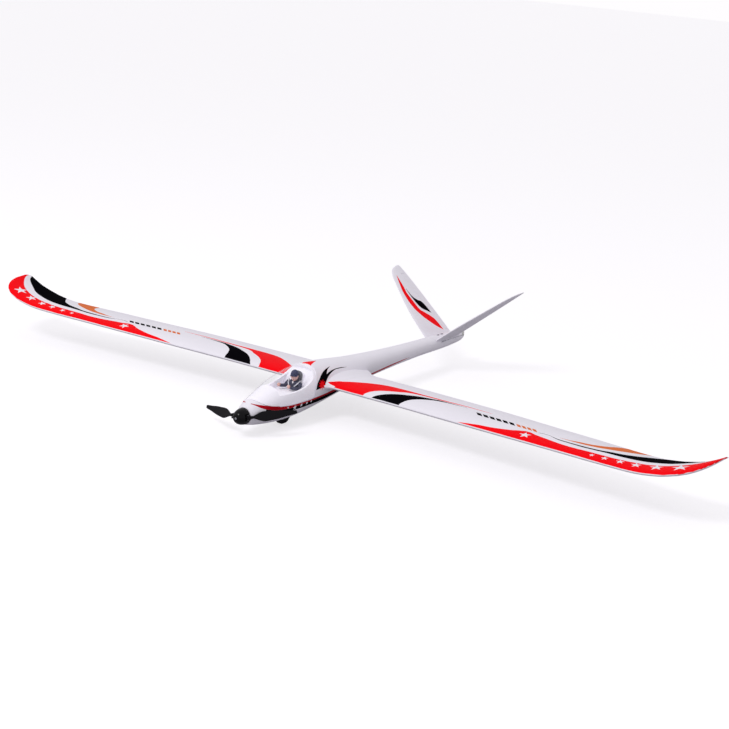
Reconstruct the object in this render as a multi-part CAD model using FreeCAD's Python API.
import FreeCAD, Part
import math
import os

from FreeCAD import Vector

# V-tail electric glider, 2.2 m span, moulded foam. Millimetres.
# Stations are measured from the spinner's back face: x to the left wing, y aft, z up from the
# thrust line. The finished parts are shifted so that the origin is the middle of the belly
# skid's flat foot.

# ---- driving dimensions -------------------------------------------------------------------
SPINNER_R = 21.0
SPINNER_LENGTH = 31.0
BLADE_LENGTH = 130.0            # from its hinge pin to the tip
BLADE_PIN_X = 22.5
PROP_PLANE = -10.0
PROP_TURN = 7.0                 # degrees, left blade up, as the propeller stopped
FOLD_LIMIT = 60.0               # degrees back from spread, where a blade would meet the nose
LEFT_FOLD = FOLD_LIMIT          # as the blades stopped
RIGHT_FOLD = 20.5
SHELL_WALL = 7.0
HATCH_GAP = 0.5
WING_THICKNESS = 0.112          # of the chord
FIN_THICKNESS = 0.075
TAIL_DIHEDRAL = 40.0            # degrees above the horizon
AILERON_IN = 470.0
AILERON_OUT = 870.0
SURFACE_THROW = 20.0            # degrees each way
HINGE_GAP = 0.8
JOINER_R = 5.0
JOINER_HALF = 330.0
HORN_R = 20.0                   # aileron horn and servo arm, pivot to hole
TAIL_HORN_R = 13.0
ROD_R = 0.8
BEND_SWELL = 0.06               # a bent wire is a little fatter at its bends
PIN_CLEARANCE = 0.08
LOOSE_CLEARANCE = 1.0           # tail rod ends, which move on a straight line
SERVO = (23.0, 12.0, 22.0)      # length, width, height
SKID_STATION = 165.0
SKID_DEPTH = 52.0

# Fuselage stations: y, top z, bottom z, half width.
STATIONS = [
    (2.0, 22.0, -22.0, 22.0),
    (9.0, 27.0, -23.5, 25.0),
    (25.0, 37.0, -27.0, 30.0),
    (50.0, 46.5, -30.5, 35.5),
    (80.0, 57.0, -33.5, 41.0),
    (120.0, 71.0, -36.0, 46.5),
    (170.0, 83.0, -35.5, 51.0),
    (230.0, 89.5, -30.5, 52.5),
    (300.0, 88.5, -22.0, 50.0),
    (400.0, 79.0, -9.5, 42.5),
    (550.0, 68.0, 2.5, 33.5),
    (700.0, 61.5, 10.5, 27.0),
    (850.0, 58.5, 14.5, 23.0),
    (960.0, 57.5, 15.5, 20.5),
    (1030.0, 55.0, 19.0, 17.5),
    (1072.0, 46.0, 26.0, 10.0),
    (1086.0, 39.0, 33.0, 3.5),
]

# Wing stations: x, leading edge y, trailing edge y, extra rise of the curved tip.
WING_STATIONS = [
    (76.0, 278.0, 478.0, 0.0),
    (250.0, 270.0, 468.0, 0.0),
    (450.0, 255.0, 452.0, 0.0),
    (650.0, 242.0, 426.0, 0.0),
    (800.0, 231.0, 407.0, 0.0),
    (870.0, 221.5, 391.0, 1.8),
    (930.0, 215.0, 381.0, 4.0),
    (980.0, 214.0, 376.0, 10.0),
    (1020.0, 219.0, 373.0, 19.0),
    (1048.0, 230.0, 370.0, 27.5),
    (1068.0, 247.0, 368.5, 36.0),
    (1081.0, 269.0, 367.5, 42.5),
    (1089.0, 296.0, 366.5, 47.0),
    (1094.0, 334.0, 365.0, 50.0),
]
WING_Z = 34.0
WING_RISE = 0.016
WING_DROP = 6.0                 # trailing edge below leading edge

# Fin stations: distance along the fin, leading edge y, trailing edge y.
FIN_STATIONS = [
    (8.0, 889.0, 1032.0),
    (75.0, 899.0, 1034.0),
    (135.0, 914.0, 1034.0),
    (195.0, 937.0, 1033.0),
    (232.0, 952.0, 1031.0),
    (254.0, 968.0, 1029.0),
    (266.0, 988.0, 1027.0),
    (271.0, 1010.0, 1024.0),
]
FIN_ROOT_X = 8.0
FIN_ROOT_Z = 42.0
RUDDERVATOR_IN = 24.0
RUDDERVATOR_OUT = 238.0
RUDDERVATOR_HINGE = (1011.0, 1002.0)   # y at its inner and outer end

# Parting line of the cockpit hatch, seen from the side: y, z.
HATCH_LINE = [(22.0, 40.0), (50.0, 24.0), (85.0, 16.0), (125.0, 12.5), (190.0, 12.5), (280.0, 16.0)]
HATCH_REAR = [(230.0, 0.0), (230.5, 30.0), (235.0, 55.0), (247.0, 77.0), (268.0, 98.0)]
COCKPIT_LINE = [(96.0, 40.0), (150.0, 42.0), (205.0, 52.0), (238.0, 70.0)]

CANOPY_WALL = 1.6
TUB_OUTSIDE = 2.2               # depth of the tub's outer face below the fuselage's skin
TUB_INSIDE = 7.5
TUB_GAP = 0.6                   # round the tub, inside the canopy's own gap
BULKHEAD = 8.0                  # thickness, behind the seat
DECK_Z = (24.5, 28.0)
SEAT_BACK_Y = (222.0, 226.0)
CATCH_X = 12.0                  # magnets and keepers at the top of the canopy's rear seam
CATCH_Z = 84.5
CATCH_R = 1.8
MAGNET_Y = (247.0, 250.0)
KEEPER_Y = (257.5, 260.5)

SLOT_R = 2.6                    # room for the tail rods where they leave the boom
SLOT_TRAVEL = 8.0
SCREW_STATIONS = (SKID_STATION - 5.0, SKID_STATION + 12.0)

LEFT = Vector(1, 0, 0)
AFT = Vector(0, 1, 0)
UP = Vector(0, 0, 1)
ZERO = Vector(0, 0, 0)


# ---- helpers ------------------------------------------------------------------------------
def box(x, y, z):
    """A box from three (low, high) pairs."""
    size = [pair[1] - pair[0] for pair in (x, y, z)]
    return Part.makeBox(size[0], size[1], size[2], Vector(x[0], y[0], z[0]))


def rod(start, end, radius):
    start = Vector(*start)
    end = Vector(*end)
    return Part.makeCylinder(radius, (end - start).Length, start, end - start)


def tube(start, end, outer, inner):
    return rod(start, end, outer).cut(rod(start, end, inner))


def closed_curve(points):
    curve = Part.BSplineCurve()
    curve.interpolate(points, PeriodicFlag=True)
    return Part.Wire(curve.toShape())


def open_curve(points):
    curve = Part.BSplineCurve()
    curve.interpolate(points)
    return curve.toShape()


def ellipsoid(centre, radii):
    stretch = FreeCAD.Matrix()
    stretch.scale(Vector(*radii))
    shape = Part.makeSphere(1.0).transformGeometry(stretch)
    shape.translate(Vector(*centre))
    return shape


def mirrored(shape):
    return shape.mirror(ZERO, LEFT)


def joined(shapes):
    result = shapes[0]
    for shape in shapes[1:]:
        result = result.fuse(shape)
    return result.removeSplitter()


def group(shapes):
    return Part.makeCompound(shapes)


def pair(shape):
    return group([shape, mirrored(shape)])


def between(rows, position, column):
    """A smooth reading of a station table, outside rows held at the end values."""
    where = [row[0] for row in rows]
    value = [row[column] for row in rows]
    if position <= where[0]:
        return value[0]
    if position >= where[-1]:
        return value[-1]
    slopes = [(value[i + 1] - value[i]) / (where[i + 1] - where[i]) for i in range(len(rows) - 1)]
    tangents = [slopes[0]]
    for before, after in zip(slopes, slopes[1:]):
        # A turning point gets a level tangent, so that the curve never overshoots its stations.
        tangents.append(0.0 if before * after <= 0 else 2 * before * after / (before + after))
    tangents.append(slopes[-1])
    i = max(k for k in range(len(rows) - 1) if where[k] <= position)
    step = where[i + 1] - where[i]
    t = (position - where[i]) / step
    low = value[i] * (1 + 2 * t) * (1 - t) ** 2 + tangents[i] * step * t * (1 - t) ** 2
    high = value[i + 1] * t * t * (3 - 2 * t) + tangents[i + 1] * step * t * t * (t - 1)
    return low + high


def rows_between(rows, positions):
    """The station table read at other positions."""
    return [tuple([x] + [between(rows, x, column) for column in range(1, len(rows[0]))])
            for x in positions]


def even_steps(first, last, count):
    return [first + (last - first) * step / count for step in range(count)]


def axes_frame(origin, x_axis, y_axis):
    """A placement with the given x and y directions."""
    z_axis = x_axis.cross(y_axis)
    return FreeCAD.Placement(FreeCAD.Matrix(
        x_axis.x, y_axis.x, z_axis.x, origin.x,
        x_axis.y, y_axis.y, z_axis.y, origin.y,
        x_axis.z, y_axis.z, z_axis.z, origin.z,
        0, 0, 0, 1))


def hinge_frame(origin, along):
    """A placement with x along a hinge line, y aft and z normal to the surface."""
    x_axis = Vector(along).normalize()
    z_axis = x_axis.cross(AFT).normalize()
    return axes_frame(origin, x_axis, z_axis.cross(x_axis))


def placed(shape, placement):
    result = shape.copy()
    result.Placement = placement.multiply(result.Placement)
    return result


# ---- fuselage -----------------------------------------------------------------------------
def fuselage_ring(station, inset):
    y, top, bottom, half = station
    centre = (top + bottom) / 2
    rise = (top - bottom) / 2 - inset
    half = half - inset
    points = []
    for step in range(20):
        angle = 2 * math.pi * step / 20
        c = math.cos(angle)
        s = math.sin(angle)
        power = 0.92
        x = half * math.copysign(abs(c) ** power, c)
        z = centre + rise * math.copysign(abs(s) ** power, s)
        points.append(Vector(x, y, z))
    return closed_curve(points)


def fuselage_body(inset, first=0.0, last=2000.0):
    rings = [fuselage_ring(row, inset) for row in STATIONS if first <= row[0] <= last]
    return Part.makeLoft(rings, True, False)


def side_prism(points, top, half_width):
    """A prism across the fuselage: above a curve drawn in side view, up to a height."""
    curve = open_curve([Vector(-half_width, y, z) for y, z in points])
    first = Vector(-half_width, points[0][0], points[0][1])
    last = Vector(-half_width, points[-1][0], points[-1][1])
    high_last = Vector(-half_width, points[-1][0], top)
    high_first = Vector(-half_width, points[0][0], top)
    edges = [curve, Part.makeLine(last, high_last), Part.makeLine(high_last, high_first),
             Part.makeLine(high_first, first)]
    return Part.Face(Part.Wire(edges)).extrude(Vector(2 * half_width, 0, 0))


def hatch_region(gap):
    """The canopy's part of the nose: above its sill and ahead of its leaning rear seam."""
    low = [(y, z + gap) for y, z in HATCH_LINE]
    low[0] = (low[0][0] + gap, low[0][1])
    half_width = 90.0
    seam = [Vector(-half_width, y - gap, z) for y, z in HATCH_REAR]
    behind = [Vector(-half_width, 320.0, seam[-1].z), Vector(-half_width, 320.0, seam[0].z)]
    edges = [open_curve(seam), Part.makePolygon([seam[-1]] + behind + [seam[0]])]
    rear = Part.Face(Part.Wire(edges)).extrude(Vector(2 * half_width, 0, 0))
    return side_prism(low, HATCH_REAR[-1][1], half_width).cut(rear)


# ---- wing ---------------------------------------------------------------------------------
def half_thickness(part):
    """Half thickness of a symmetric section of unit thickness at a part of the chord."""
    t = 1.4845 * math.sqrt(part) - 0.63 * part - 1.758 * part ** 2
    return t + 1.4215 * part ** 3 - 0.5075 * part ** 4


def section_wire(place, chord, thickness, camber, grow=0.0, tip_radius=0.6):
    """An aerofoil as one wire. place(aft, up) gives a point from distances along the section."""
    parts = [0.5 * (1 - math.cos(math.pi * step / 12)) for step in range(13)]
    upper = []
    lower = []
    for part in parts:
        rise = camber * chord * 4 * part * (1 - part)
        half = half_thickness(part) * thickness * chord + tip_radius * part + grow
        upper.append(place(part * chord, rise + half))
        lower.append(place(part * chord, rise - half))
    nose = place(-grow, 0.0)
    points = upper[:0:-1] + [nose] + lower[1:]
    curve = open_curve(points)
    return Part.Wire([curve, Part.makeLine(points[-1], points[0])])


def wing_section(row, grow=0.0, thickness=WING_THICKNESS):
    x, lead, trail, rise = row
    z = WING_Z + WING_RISE * x + rise
    slope = math.atan2(WING_DROP, trail - lead)

    def place(aft, up):
        return Vector(x, lead + aft * math.cos(slope) + up * math.sin(slope),
                      z - aft * math.sin(slope) + up * math.cos(slope))

    return section_wire(place, trail - lead, thickness, 0.022, grow)


def wing_surface_point(x, part, up):
    """A point at a part of the chord, up = 1 on the top skin and -1 on the lower skin."""
    lead = between(WING_STATIONS, x, 1)
    trail = between(WING_STATIONS, x, 2)
    chord = trail - lead
    half = half_thickness(part) * WING_THICKNESS * chord + 0.6 * part
    rise = 0.022 * chord * 4 * part * (1 - part) + up * half
    slope = math.atan2(WING_DROP, chord)
    z = WING_Z + WING_RISE * x + between(WING_STATIONS, x, 3)
    return Vector(x, lead + part * chord * math.cos(slope) + rise * math.sin(slope),
                  z - part * chord * math.sin(slope) + rise * math.cos(slope))


def wing_half():
    root = WING_STATIONS[0][0]
    tip = WING_STATIONS[-1][0]
    positions = even_steps(root, 870.0, 14) + even_steps(870.0, 1050.0, 9)
    positions += even_steps(1050.0, tip, 7) + [tip]
    rows = rows_between(WING_STATIONS, positions)
    return Part.makeLoft([wing_section(row) for row in rows], True, True)


def wing_fairing():
    """The fuselage's own stub, which flares from the wing's root section into the body."""
    x, lead, trail, rise = WING_STATIONS[0]
    rows = [((20.0, lead - 16, trail + 24, rise), 9.0, 0.15),
            ((46.0, lead - 9, trail + 14, rise), 4.5, 0.128),
            ((60.0, lead - 2.5, trail + 4, rise), 1.2, 0.115),
            ((x - 0.3, lead, trail, rise), 0.0, WING_THICKNESS)]
    return Part.makeLoft([wing_section(row, grow, thick) for row, grow, thick in rows], True, True)


AILERON_HINGE_IN = wing_surface_point(AILERON_IN, 0.78, 1.0) - UP * 0.5
AILERON_HINGE_OUT = wing_surface_point(AILERON_OUT, 0.76, 1.0) - UP * 0.5
AILERON_LINE = AILERON_HINGE_OUT - AILERON_HINGE_IN
AILERON_FRAME = hinge_frame(AILERON_HINGE_IN, AILERON_LINE)
AILERON_LENGTH = AILERON_LINE.Length
LINK_X = 0.42 * AILERON_LENGTH          # servo, arm, rod and horn, along the hinge line
SERVO_AHEAD = 78.0                      # servo shaft ahead of the hinge
SERVO_RISE = -4.5
JOINER_STATION = 335.0
JOINER_Z = WING_Z + WING_RISE * 180.0


def wedge_behind(length, gap, lean, start=0.0):
    """Everything behind a hinge line, its front face leaning back below the hinge."""
    depth = 40.0
    back = 120.0
    shift = depth * math.tan(math.radians(lean))
    outline = [Vector(start, gap, 20), Vector(start, gap, 0), Vector(start, gap + shift, -depth),
               Vector(start, back, -depth), Vector(start, back, 20), Vector(start, gap, 20)]
    return Part.Face(Part.makePolygon(outline)).extrude(Vector(length, 0, 0))


def servo_case():
    """A small servo: its shaft along z at the origin, its length along y."""
    length, width, height = SERVO
    case = box((-width / 2, width / 2), (-6.0, length - 6.0), (-height - 3.0, -3.0))
    ears = box((-width / 2, width / 2), (-10.5, length - 1.5), (-9.5, -7.5))
    boss = rod((0, 0, -3.0), (0, 0, -0.4), 5.4)
    return joined([case, ears, boss])


def servo_arm(radius, hole):
    """An arm along -y with its hub at the origin and its shaft along z."""
    hub = rod((0, 0, 0), (0, 0, 3.0), 3.4)
    eye = rod((0, -radius, 0.6), (0, -radius, 2.2), 1.5 + hole)
    web = box((-1.9, 1.9), (-radius, 0), (0.6, 2.2))
    return joined([hub, eye, web]).cut(rod((0, -radius, -1), (0, -radius, 4), hole))


def horn_blade(reach, hole, root):
    """A control horn in the plane x = 0: hole at z = -reach, root plate along y at z = -root."""
    outline = [(-2.6, -reach - 2.6), (2.6, -reach - 2.6), (16.0, -root - 2.5), (16.0, -root),
               (6.0, -root), (2.4, -reach + 5.0), (-2.6, -reach + 2.6)]
    points = [Vector(0.6, y, z) for y, z in outline + outline[:1]]
    blade = Part.Face(Part.makePolygon(points)).extrude(Vector(1.6, 0, 0))
    return blade.cut(rod((0, 0, -reach), (4, 0, -reach), hole))


def lowest_solid(shape, frame):
    inverse = frame.inverse()
    return min(shape.Solids, key=lambda solid: inverse.multVec(solid.CenterOfMass).z)


def split_surface(whole, frame, length):
    """A fixed part and the control surface behind its hinge line."""
    surface = whole.common(placed(wedge_behind(length, HINGE_GAP / 2, 24.0), frame))
    opening = placed(wedge_behind(length + 1.6, -HINGE_GAP / 2, 0.0, -0.8), frame)
    return whole.cut(opening), surface


def aileron_group():
    """Everything of the left wing, by part."""
    panel, aileron = split_surface(wing_half(), AILERON_FRAME, AILERON_LENGTH)
    shaft = Vector(LINK_X, -SERVO_AHEAD, SERVO_RISE)
    # The servo lies on its side: its shaft along the hinge line, its arm below the skin.
    on_side = axes_frame(shaft, Vector(0, 0, -1), AFT)
    hanging = axes_frame(shaft, AFT, UP)
    pocket = box((LINK_X - SERVO[2] - 4.0, LINK_X + 5.0),
                 (-SERVO_AHEAD - 12.0, -SERVO_AHEAD + SERVO[0] - 0.5),
                 (SERVO_RISE - 30.0, SERVO_RISE + SERVO[1] / 2 + 0.5))
    joiner_hole = rod((0, JOINER_STATION, JOINER_Z), (JOINER_HALF + 2.0, JOINER_STATION, JOINER_Z),
                      JOINER_R + 0.1)
    panel = panel.cut(placed(pocket, AILERON_FRAME)).cut(joiner_hole)
    hole = ROD_R + PIN_CLEARANCE
    horn = horn_blade(HORN_R, hole, 1.0)
    horn.translate(Vector(LINK_X, 0, 0))
    horn = lowest_solid(placed(horn, AILERON_FRAME).cut(aileron), AILERON_FRAME)
    wire_x = LINK_X + 3.8
    arm_end = (-SERVO_AHEAD, SERVO_RISE - HORN_R)
    horn_end = (0.0, -HORN_R)
    wire = joined([rod((LINK_X - 0.6, *arm_end), (wire_x, *arm_end), ROD_R),
                   rod((wire_x, *arm_end), (wire_x, *horn_end), ROD_R),
                   rod((LINK_X - 0.6, *horn_end), (wire_x, *horn_end), ROD_R),
                   Part.makeSphere(ROD_R, Vector(wire_x, *arm_end)),
                   Part.makeSphere(ROD_R, Vector(wire_x, *horn_end))])
    cover = box((LINK_X - SERVO[2] - 2.5, LINK_X - 1.5),
                (-SERVO_AHEAD - 11.0, -SERVO_AHEAD + SERVO[0] - 1.5),
                (SERVO_RISE - 8.0, SERVO_RISE - SERVO[1] / 2 - 0.1))
    return {
        "wing_panel": panel,
        "aileron": aileron,
        "aileron_horn": horn,
        "aileron_servo": placed(placed(servo_case(), on_side), AILERON_FRAME),
        "aileron_servo_cover": placed(cover, AILERON_FRAME),
        "aileron_servo_arm": placed(placed(servo_arm(HORN_R, hole), hanging), AILERON_FRAME),
        "aileron_pushrod": placed(wire, AILERON_FRAME),
    }


# ---- tail ---------------------------------------------------------------------------------
FIN_OUT = Vector(math.cos(math.radians(TAIL_DIHEDRAL)), 0, math.sin(math.radians(TAIL_DIHEDRAL)))
FIN_UP = Vector(-FIN_OUT.z, 0, FIN_OUT.x)


def fin_point(along, y, up):
    return Vector(FIN_ROOT_X, y, FIN_ROOT_Z) + FIN_OUT * along + FIN_UP * up


def fin_section(row):
    along, lead, trail = row
    return section_wire(lambda aft, up: fin_point(along, lead + aft, up), trail - lead,
                        FIN_THICKNESS, 0.0, 0.0, 0.5)


def fin_hinge(along):
    """A point of the hinge line, just under the fin's top skin."""
    inner, outer = RUDDERVATOR_HINGE
    part = (along - RUDDERVATOR_IN) / (RUDDERVATOR_OUT - RUDDERVATOR_IN)
    y = inner + part * (outer - inner)
    lead = between(FIN_STATIONS, along, 1)
    chord = between(FIN_STATIONS, along, 2) - lead
    aft = (y - lead) / chord
    return fin_point(along, y, half_thickness(aft) * FIN_THICKNESS * chord + 0.1)


FIN_HINGE_IN = fin_hinge(RUDDERVATOR_IN)
FIN_HINGE_OUT = fin_hinge(RUDDERVATOR_OUT)
FIN_LINE = FIN_HINGE_OUT - FIN_HINGE_IN
FIN_FRAME = hinge_frame(FIN_HINGE_IN, FIN_LINE)
TAIL_HORN_X = 6.0                       # along the hinge line
TAIL_HOLE = ROD_R + LOOSE_CLEARANCE
TAIL_SERVO = Vector(8.5, 372.0, 38.0)
TAIL_ROD_RISE = 3.8                     # of the rod above the servo arm's underside
TAIL_ARM_TIP = TAIL_SERVO + LEFT * TAIL_HORN_R + UP * TAIL_ROD_RISE
ROD_BEND = Vector(11.5, 905.0, 38.0)
ROD_LINE = (ROD_BEND - TAIL_ARM_TIP).normalize()


def tail_horn_hole(x):
    return FIN_FRAME.multVec(Vector(x, 0, -TAIL_HORN_R))


def tail_rod_path():
    """Servo end, bend inside the boom, bend outside it and horn end of the left tail rod."""
    wire = tail_horn_hole(TAIL_HORN_X - 1.6)
    outside = wire - AFT * 28.0
    return [TAIL_ARM_TIP, ROD_BEND, outside, wire]


def tail_rod():
    path = tail_rod_path()
    pieces = [rod(low, high, ROD_R) for low, high in zip(path, path[1:])]
    pieces += [Part.makeSphere(ROD_R + BEND_SWELL, point) for point in path]
    pieces.append(rod(path[-1], tail_horn_hole(TAIL_HORN_X + 4.0), ROD_R))
    pieces.append(rod(TAIL_ARM_TIP - UP * (TAIL_ROD_RISE + 0.2), TAIL_ARM_TIP, ROD_R))
    return joined(pieces)


def tail_group(body):
    """Everything of the left tail half, by part."""
    positions = even_steps(FIN_STATIONS[0][0], 232.0, 8)
    positions += even_steps(232.0, FIN_STATIONS[-1][0], 7) + [FIN_STATIONS[-1][0]]
    rows = rows_between(FIN_STATIONS, positions)
    whole = Part.makeLoft([fin_section(row) for row in rows], True, True).cut(body)
    whole = max(whole.Solids, key=lambda solid: solid.Volume)
    fin, ruddervator = split_surface(whole, FIN_FRAME, FIN_LINE.Length)
    bore = rod(fin_point(0, 950, 0), fin_point(92, 950, 0), 2.6)
    horn = horn_blade(TAIL_HORN_R, TAIL_HOLE, 1.0)
    horn.translate(Vector(TAIL_HORN_X, 0, 0))
    horn = lowest_solid(placed(horn, FIN_FRAME).cut(ruddervator), FIN_FRAME)
    arm_place = axes_frame(TAIL_SERVO, AFT, Vector(-1, 0, 0))
    case_place = axes_frame(TAIL_SERVO, Vector(-1, 0, 0), Vector(0, -1, 0))
    tube_start = TAIL_ARM_TIP + ROD_LINE * 24.0
    guide = tube(tube_start, ROD_BEND - ROD_LINE * 22.0, 1.9, ROD_R + 0.2)
    return {
        "tail_fin": fin.cut(bore),
        "ruddervator": ruddervator,
        "ruddervator_horn": horn,
        "tail_servo": placed(servo_case(), case_place),
        "tail_servo_arm": placed(servo_arm(TAIL_HORN_R, TAIL_HOLE), arm_place),
        "tail_pushrod": tail_rod(),
    }, guide


def fin_bracket():
    """A moulded block in the boom with one carbon stub for each fin."""
    block = box((-11.0, 11.0), (936.0, 964.0), (27.0, 47.0))
    stub = rod(fin_point(-2, 950, 0), fin_point(90, 950, 0), 2.5)
    return block, pair(stub.cut(block))


# ---- propeller and motor ------------------------------------------------------------------
THRUST_TURN = FreeCAD.Placement(ZERO, FreeCAD.Rotation(AFT, -PROP_TURN))


def turned(outline):
    """A solid of revolution about the thrust line from (radius, y) points."""
    points = [Vector(radius, y, 0) for radius, y in outline]
    face = Part.Face(Part.makePolygon(points + points[:1]))
    return face.revolve(ZERO, AFT, 360)


def spinner_outline(wall, steps=14):
    """An elliptical nose, from its rim to its tip, for a given wall inside it."""
    points = []
    for step in range(steps + 1):
        angle = math.pi / 2 * step / steps
        radius = (SPINNER_R - wall) * math.cos(angle) ** 0.8
        points.append((radius, -(SPINNER_LENGTH - wall) * math.sin(angle)))
    return points


def spinner():
    outer = spinner_outline(0.0)
    inner = spinner_outline(1.5)[::-1]
    shell = turned(outer + inner).cut(box((-60, 60), (-16.5, 5.0), (-8.5, 8.5)))
    head_bore = rod((0, -40, 0), (0, -28.8, 0), 3.1)
    return shell.cut(rod((0, -40, 0), (0, -20, 0), 1.9)).cut(head_bore)


def blade_section(distance, chord, thickness, pitch, sweep):
    """A thin lens across the blade at a distance from the pin."""
    c = math.cos(math.radians(pitch))
    s = math.sin(math.radians(pitch))
    ring = []
    for step in range(10):
        angle = 2 * math.pi * step / 10
        z = 0.5 * chord * math.cos(angle) + sweep
        out = 0.5 * thickness * math.sin(angle)
        ring.append(Vector(distance, out * c + z * s, z * c - out * s))
    return closed_curve(ring)


BLADE_ROWS = [                          # distance, chord, thickness, pitch, sweep
    (9.0, 7.0, 4.6, 28.0, 0.0),
    (20.0, 11.0, 4.0, 28.0, -0.4),
    (35.0, 23.0, 3.2, 24.0, -0.8),
    (52.0, 25.0, 2.8, 21.0, -1.0),
    (73.0, 22.0, 2.3, 18.0, -0.8),
    (93.0, 17.0, 1.8, 16.0, -0.4),
    (113.0, 12.0, 1.4, 14.0, 0.0),
    (BLADE_LENGTH - 3.0, 8.5, 1.1, 13.0, 0.2),
    (BLADE_LENGTH, 7.0, 0.9, 13.0, 0.2),
]


def blade(fold):
    """The left blade, turned back about its pin by the fold angle."""
    body = Part.makeLoft([blade_section(*row) for row in BLADE_ROWS], True, False)
    lug = joined([rod((0, 0, -3.4), (0, 0, 3.4), 3.9), box((0, 10.0), (-2.4, 2.4), (-3.4, 3.4))])
    whole = joined([body, lug]).cut(rod((0, 0, -5), (0, 0, 5), 1.5 + PIN_CLEARANCE / 2))
    whole.rotate(ZERO, UP, fold)
    whole.translate(Vector(BLADE_PIN_X, PROP_PLANE, 0))
    return whole


def propeller():
    """Spinner, hub, pins and blades, with the motor parts that turn with them."""
    p = PROP_PLANE
    bar = box((-27.0, 27.0), (p - 4.0, p + 4.0), (-6.0, 6.0))
    ends = [rod((x, p, -6.0), (x, p, 6.0), 4.0) for x in (-27.0, 27.0)]
    hub = joined([bar, rod((0, p - 5.0, 0), (0, p + 5.0, 0), 8.0)])
    gap = box((16.5, 40.0), (p - 12.0, p + 12.0), (-3.6, 3.6))
    hub = hub.cut(gap).cut(mirrored(gap)).cut(rod((0, -40, 0), (0, 0, 0), 2.55))
    pins = [rod((x, p, -7.2), (x, p, 7.2), 1.5) for x in (-BLADE_PIN_X, BLADE_PIN_X)]
    for pin in pins:
        hub = hub.cut(pin)
    backplate = turned([(2.55, -4.6), (9.0, -4.6), (9.0, -1.6), (SPINNER_R - 1.7, -1.6),
                        (SPINNER_R - 1.7, -0.2), (2.55, -0.2)])
    nut = rod((0, p - 5.1, 0), (0, p - 9.5, 0), 4.4).cut(rod((0, -40, 0), (0, 0, 0), 2.5))
    screw = joined([rod((0, -31.6, 0), (0, -28.9, 0), 3.0), rod((0, -28.9, 0), (0, -21.5, 0), 1.4)])
    shaft = rod((0, -21.0, 0), (0, 37.8, 0), 2.5)
    bell = turned([(2.5, 36.0), (14.0, 36.0), (14.0, 17.0), (12.7, 17.0), (12.7, 34.6), (2.5, 34.6)])
    turning = {
        "spinner": spinner(),
        "spinner_backplate": backplate,
        "blade_hub": hub,
        "hub_nut": nut,
        "spinner_screw": screw,
        "blade_pins": group(pins),
        "motor_shaft": shaft,
        "motor_bell": bell,
        "propeller_blade_left": blade(LEFT_FOLD),
        "propeller_blade_right": mirrored(blade(RIGHT_FOLD)),
    }
    return {name: placed(shape, THRUST_TURN) for name, shape in turning.items()}


def motor():
    """The fixed part of the motor, its mounting plate and the plate's screws."""
    flange = turned([(2.55, 9.2), (12.0, 9.2), (12.0, 12.0), (5.0, 12.0), (5.0, 16.0),
                     (12.0, 16.0), (12.0, 33.0), (2.55, 33.0)])
    plate = rod((0, 6.1, 0), (0, 9.1, 0), 15.4).cut(rod((0, 0, 0), (0, 20, 0), 6.0))
    screws = []
    for step in range(4):
        angle = math.radians(45 + 90 * step)
        x = 9.0 * math.cos(angle)
        z = 9.0 * math.sin(angle)
        hole = rod((x, 3, z), (x, 11.8, z), 1.25)
        plate = plate.cut(hole)
        flange = flange.cut(hole)
        screws.append(joined([rod((x, 4.6, z), (x, 6.05, z), 2.2), rod((x, 6.05, z), (x, 11.5, z), 1.2)]))
    return {"motor_stator": flange, "motor_plate": plate, "motor_screws": group(screws)}


# ---- cockpit hatch ------------------------------------------------------------------------
def catch_disc(span, play=0.0):
    """The left disc of a catch pair, from one y to another, or the room for it."""
    low, high = span
    return rod((CATCH_X, low - play, CATCH_Z), (CATCH_X, high + play, CATCH_Z), CATCH_R + play)


def hatch_group(body):
    """Clear canopy, white cockpit tub, pilot and catch parts."""
    region = hatch_region(HATCH_GAP)
    clear = body.common(region).cut(fuselage_body(CANOPY_WALL))
    clear = max(clear.Solids, key=lambda solid: solid.Volume)
    inner = fuselage_body(TUB_OUTSIDE)
    tub_region = hatch_region(HATCH_GAP + TUB_GAP)
    opening = side_prism(COCKPIT_LINE, 130.0, 90.0)
    walls = inner.common(tub_region).cut(fuselage_body(TUB_INSIDE)).cut(opening)
    walls = max(walls.Solids, key=lambda solid: solid.Volume)
    bulkhead = inner.common(tub_region).cut(hatch_region(HATCH_GAP + TUB_GAP + BULKHEAD))
    bulkhead = bulkhead.common(box((-60, 60), (SEAT_BACK_Y[0] - 3.0, 300), (0, 100)))
    deck = fuselage_body(TUB_INSIDE - 0.1).common(box((-60, 60), (100, 224), DECK_Z))
    seat_back = box((-15, 15), SEAT_BACK_Y, (26, 72))
    magnet = catch_disc(MAGNET_Y)
    tub = joined([walls, bulkhead, deck, seat_back]).cut(magnet).cut(mirrored(magnet))
    torso = ellipsoid((0, 208.5, 40.0), (24.0, 12.0, 15.0))
    torso = torso.common(box((-40, 40), (150, 240), (DECK_Z[1] + 0.2, 90)))
    neck = rod((0, 207, 48), (0, 206, 60), 5.5)
    pilot = joined([torso, neck, ellipsoid((0, 205.5, 66.5), (10.5, 12.5, 16.0))])
    return {"canopy": clear, "cockpit_tub": tub, "pilot": pilot, "hatch_magnets": pair(magnet)}


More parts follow.
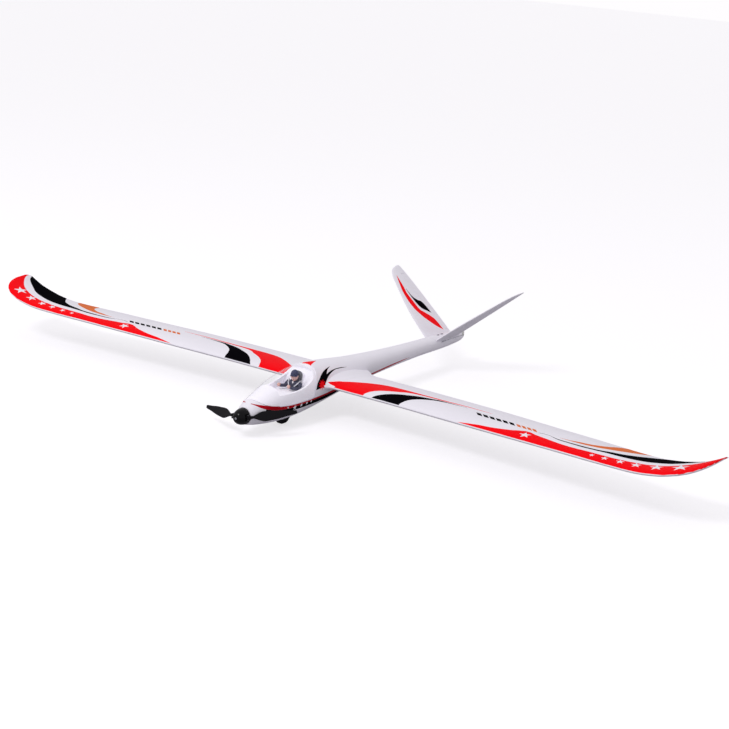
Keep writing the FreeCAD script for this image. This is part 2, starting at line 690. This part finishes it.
# ---- inside the fuselage ------------------------------------------------------------------
def inside_group():
    """Battery, speed controller, receiver and what holds them."""
    room = fuselage_body(SHELL_WALL + 0.5, 25.0, 960.0)
    tray = box((-20, 20), (70, 296), (-19.5, -17.5)).common(room)
    battery = box((-17, 17), (78, 183), (-17.0, 7.0))
    battery = battery.makeFillet(2.5, battery.Edges)
    strap_outer = box((-18.3, 18.3), (122, 138), (-17.45, 8.3))
    strap = strap_outer.cut(box((-17.1, 17.1), (120, 140), (-17.1, 7.1)))
    strap = strap.cut(box((-17.1, 17.1), (120, 140), (-18.0, -10.0)))
    controller = box((-13, 13), (196, 246), (-17.2, -8.0))
    controller = controller.makeFillet(1.5, controller.Edges)
    receiver = box((-11, 11), (256, 268), (-17.2, 8.0)).fuse(box((-11, 11), (268, 300), (-3, 8)))
    return {
        "equipment_tray": tray,
        "flight_battery": battery,
        "battery_strap": strap,
        "speed_controller": controller,
        "receiver": receiver.removeSplitter(),
    }


def servo_frame():
    """A plywood frame across the body that carries the two tail servos."""
    y = TAIL_SERVO.y
    z = TAIL_SERVO.z - 9.6
    width = between(STATIONS, y, 3) - SHELL_WALL - 4.0
    frame = box((-width, width), (y - 27, y + 20), (z - 2.5, z))
    for side in (-1, 1):
        x = side * TAIL_SERVO.x
        frame = frame.cut(box((x - 6.2, x + 6.2), (y - 17.2, y + 6.2), (z - 5, z + 5)))
    return frame


def skid():
    """A moulded keel under the nose with a flat foot at the origin."""
    y = SKID_STATION
    foot = -SKID_DEPTH
    side = [Vector(0, y - 19, foot + 20), Vector(0, y - 14, foot + 4.0), Vector(0, y - 9, foot),
            Vector(0, y + 9, foot), Vector(0, y + 16, foot + 3.0), Vector(0, y + 33, foot + 20)]
    keel = Part.Face(Part.makePolygon(side + side[:1])).extrude(Vector(14.0, 0, 0))
    keel.translate(Vector(-7.0, 0, 0))
    return keel


def skid_screws():
    """Two countersunk screws that hold the skid to the shell."""
    screws = []
    for y in SCREW_STATIONS:
        head = rod((0, y, -46.0), (0, y, -43.5), 2.6)
        screws.append(joined([head, rod((0, y, -43.5), (0, y, -30.5), 1.2)]))
    return screws


# ---- the whole aircraft -------------------------------------------------------------------
def rod_slots():
    """Room in the shell round the left tail rod where it leaves the boom, with its travel."""
    path = tail_rod_path()
    slots = []
    for low, high in zip(path[1:], path[2:]):
        shifts = (-AFT * SLOT_TRAVEL, AFT * SLOT_TRAVEL, ZERO)
        slots.append(joined([rod(low + shift, high + shift, SLOT_R) for shift in shifts]))
    return slots


def fuselage_halves(body, cuts):
    hollow = fuselage_body(SHELL_WALL, 25.0, 960.0)
    nose_bay = rod((0, 6.0, 0), (0, 60.0, 0), 16.0).fuse(rod((0, 0, 0), (0, 8.0, 0), 11.8))
    fairing = wing_fairing()
    shell = body.fuse(fairing).fuse(mirrored(fairing)).cut(hollow).cut(nose_bay)
    for cut in cuts:
        shell = shell.cut(cut)
    left = shell.common(box((0, 200), (-10, 1200), (-80, 150)))
    right = shell.common(box((-200, 0), (-10, 1200), (-80, 150)))
    return left, right


def build():
    body = fuselage_body(0.0)
    wing = aileron_group()
    tail, guide = tail_group(body)
    hatch = hatch_group(body)
    block, stubs = fin_bracket()
    keel = skid().cut(body)
    keel = min(keel.Solids, key=lambda solid: solid.CenterOfMass.z)
    joiner = tube((-JOINER_HALF, JOINER_STATION, JOINER_Z), (JOINER_HALF, JOINER_STATION, JOINER_Z),
                  JOINER_R, JOINER_R - 1.0)
    joiner_hole = rod((-90, JOINER_STATION, JOINER_Z), (90, JOINER_STATION, JOINER_Z), JOINER_R + 0.1)
    stub_hole = rod(fin_point(-2, 950, 0), fin_point(90, 950, 0), 2.6)
    bracket_room = box((-11.1, 11.1), (935.9, 964.1), (26.9, 47.1))
    keel_screws = skid_screws()
    for screw, y in zip(keel_screws, SCREW_STATIONS):
        keel = keel.cut(screw).cut(rod((0, y, -60), (0, y, -46), 2.8))
    keeper_room = catch_disc(KEEPER_Y, 0.05)
    slots = rod_slots()
    cuts = [hatch_region(0.0), joiner_hole, bracket_room, stub_hole, mirrored(stub_hole)]
    cuts += slots + [mirrored(slot) for slot in slots] + keel_screws
    left, right = fuselage_halves(body, cuts)
    parts = {
        "fuselage_left": left.cut(keeper_room),
        "fuselage_right": right.cut(mirrored(keeper_room)),
        "wing_joiner": joiner,
        "fin_bracket": block,
        "fin_stubs": stubs,
        "belly_skid": keel,
        "skid_screws": group(keel_screws),
        "guide_tubes": pair(guide),
        "servo_frame": servo_frame(),
        "hatch_keepers": pair(catch_disc(KEEPER_Y)),
    }
    parts.update(hatch)
    parts.update(motor())
    parts.update(propeller())
    parts.update(inside_group())
    for name, shape in {**wing, **tail}.items():
        parts[name + "_left"] = shape
        parts[name + "_right"] = mirrored(shape)
    return parts


def main():
    os.makedirs("parts", exist_ok=True)
    shift = Vector(0, -SKID_STATION, SKID_DEPTH)
    for name, shape in build().items():
        moved = shape.copy()
        moved.translate(shift)
        moved.exportStep("parts/" + name + ".step")


if __name__ == "__main__":
    main()
